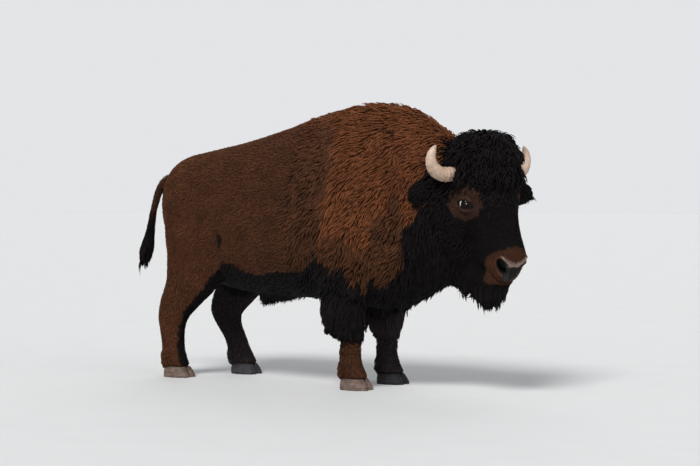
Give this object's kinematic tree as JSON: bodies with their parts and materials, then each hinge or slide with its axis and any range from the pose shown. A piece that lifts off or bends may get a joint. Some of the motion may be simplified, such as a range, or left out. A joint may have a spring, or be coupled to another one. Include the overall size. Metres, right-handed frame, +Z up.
{
  "type": "american bison bull",
  "caption": "Life-size still model of a standing American bison bull, with its head a little turned, a humped back, short horns and a shaggy coat.",
  "frame": {"origin": "on the floor, under the middle of the animal's box", "axes": "+X ahead, towards the head; +Y to the animal's left; +Z up"},
  "size_m": [2.9264, 0.8034, 1.7531],
  "materials": {
    "cape_coat": "long woolly hair, warm brown",
    "short_coat": "short dense hair, dark brown",
    "dark_coat": "long curly hair, black-brown",
    "horn": "ridged keratin, satin",
    "hoof": "worn keratin, matte",
    "eye": "wet, dark"
  },
  "bodies": {
    "root": {"barrel": "short_coat", "beard": "dark_coat", "bonnet": "dark_coat", "claw_front_left_inner": "hoof", "claw_front_left_outer": "hoof", "claw_front_right_inner": "hoof", "claw_front_right_outer": "hoof", "claw_hind_left_inner": "hoof", "claw_hind_left_outer": "hoof", "claw_hind_right_inner": "hoof", "claw_hind_right_outer": "hoof", "dewclaw_front_left_inner": "hoof", "dewclaw_front_left_outer": "hoof", "dewclaw_front_right_inner": "hoof", "dewclaw_front_right_outer": "hoof", "dewclaw_hind_left_inner": "hoof", "dewclaw_hind_left_outer": "hoof", "dewclaw_hind_right_inner": "hoof", "dewclaw_hind_right_outer": "hoof", "ear_left": "dark_coat", "ear_right": "dark_coat", "eye_left": "eye", "eye_right": "eye", "front_leg_left_lower": "short_coat", "front_leg_left_upper": "dark_coat", "front_leg_right_lower": "short_coat", "front_leg_right_upper": "dark_coat", "head": "dark_coat", "hind_leg_left_lower": "short_coat", "hind_leg_left_upper": "short_coat", "hind_leg_right_lower": "short_coat", "hind_leg_right_upper": "short_coat", "hindquarters": "short_coat", "horn_left": "horn", "horn_right": "horn", "neck": "cape_coat", "shoulders": "cape_coat", "tail": "short_coat", "tail_tuft": "dark_coat"}
  },
  "joints": []
}
